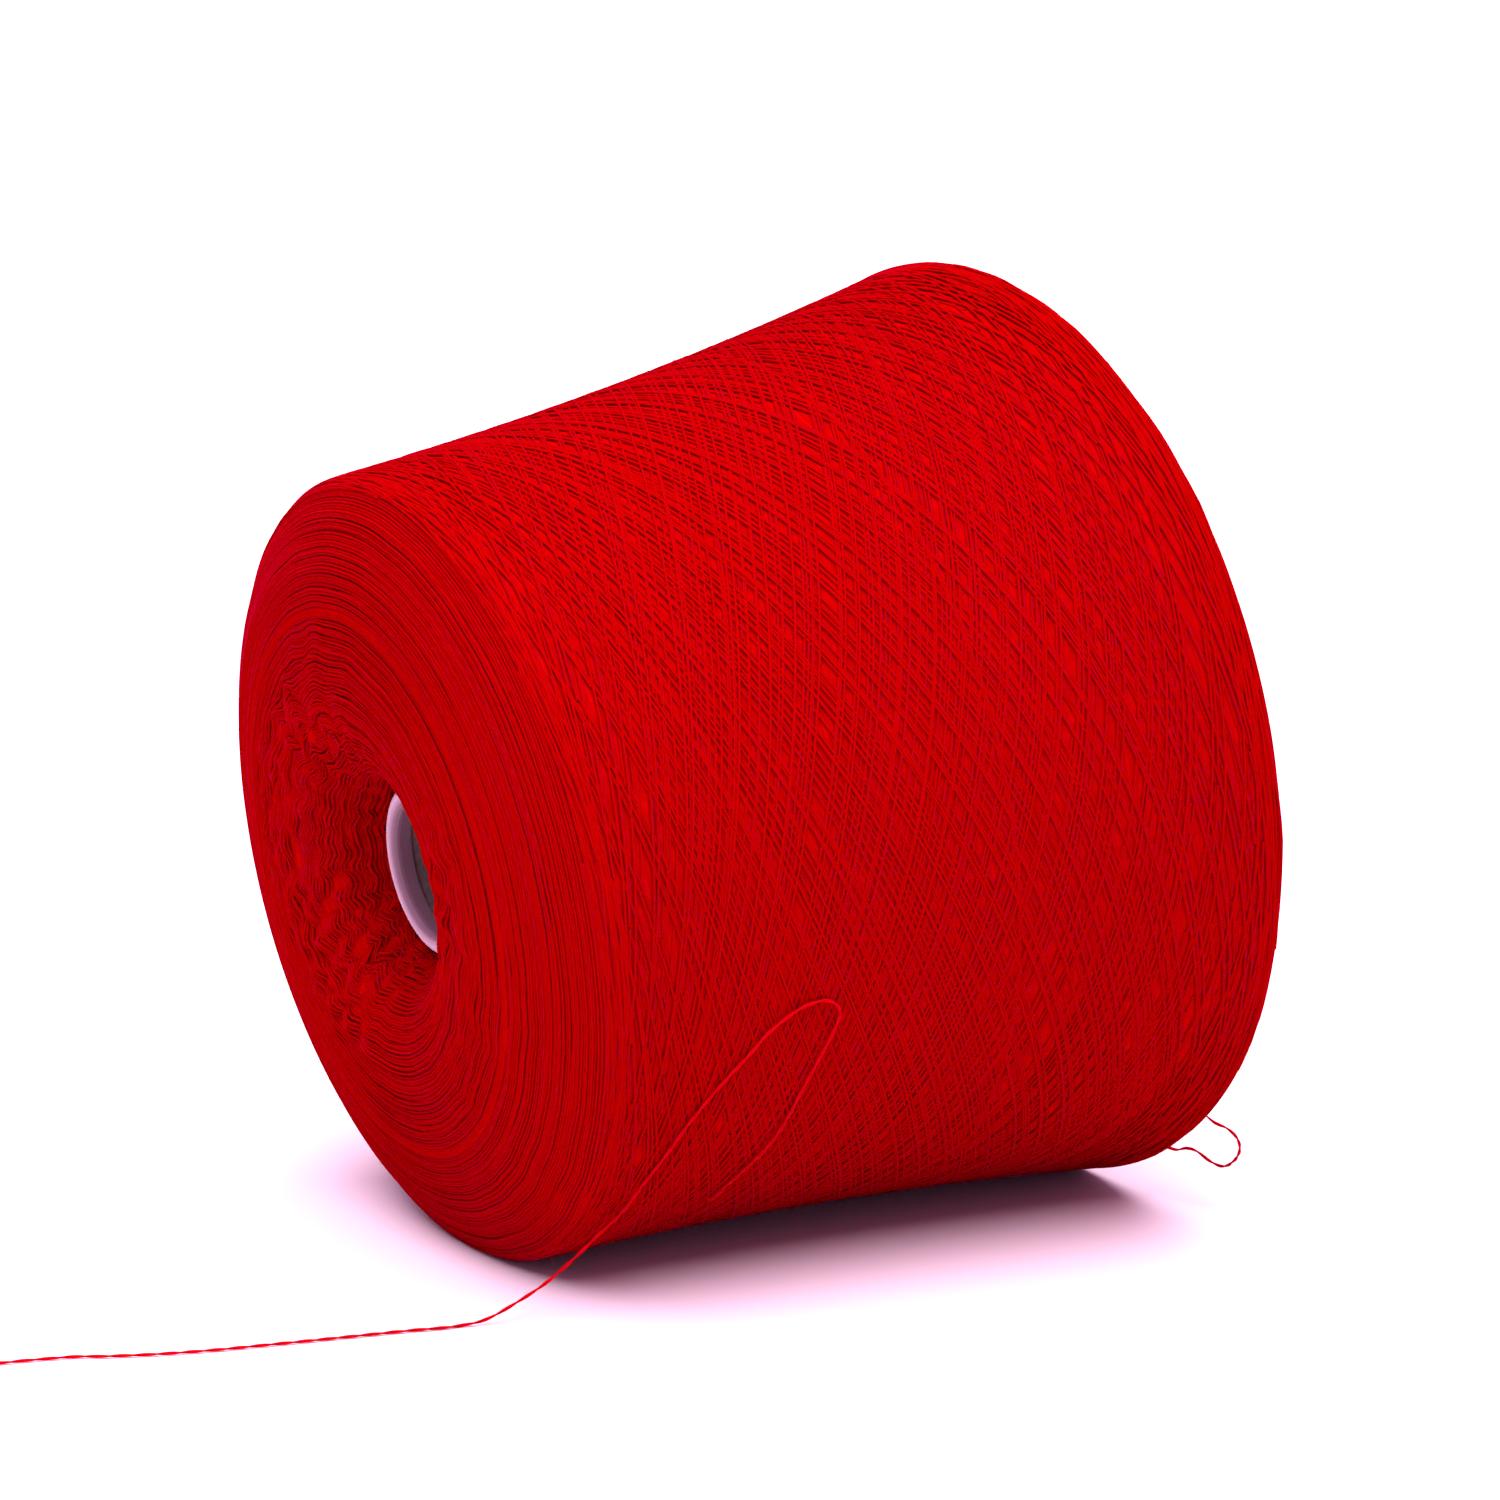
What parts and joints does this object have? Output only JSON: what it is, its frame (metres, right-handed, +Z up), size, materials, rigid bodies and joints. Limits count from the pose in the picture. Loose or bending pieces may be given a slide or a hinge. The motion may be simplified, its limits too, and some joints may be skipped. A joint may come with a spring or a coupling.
{
  "type": "cone of thread",
  "caption": "Cross-wound package of plied red knitting thread on a tapered paper tube, lying on its side with a loose end on the floor.",
  "frame": {"origin": "on the floor, under the centre of the box of the package and its tube (loose thread left out)", "axes": "+Z up; the package axis lies in the XZ plane, nose towards -X and base towards +X, climbing 7.97 degrees towards +X; -Y is the side with the loose end"},
  "size_m": [0.285, 0.2072, 0.2047],
  "materials": {
    "red_yarn": "soft matte two-ply knitting yarn with a little fuzz",
    "grey_board": "matte spirally wound grey paperboard",
    "white_paper": "smooth calendered white paper"
  },
  "bodies": {
    "package": {"yarn_package": "red_yarn", "thread_tail": "red_yarn", "base_loop": "red_yarn"},
    "tube": {"tube_board": "grey_board", "tube_cover": "white_paper", "transfer_bunch": "red_yarn"}
  },
  "joints": [
    {"name": "tube_draw", "type": "slide", "parent": "package", "child": "tube", "axis": [0.9903, 0, 0.1386], "range_m": [0, 0.18]}
  ]
}
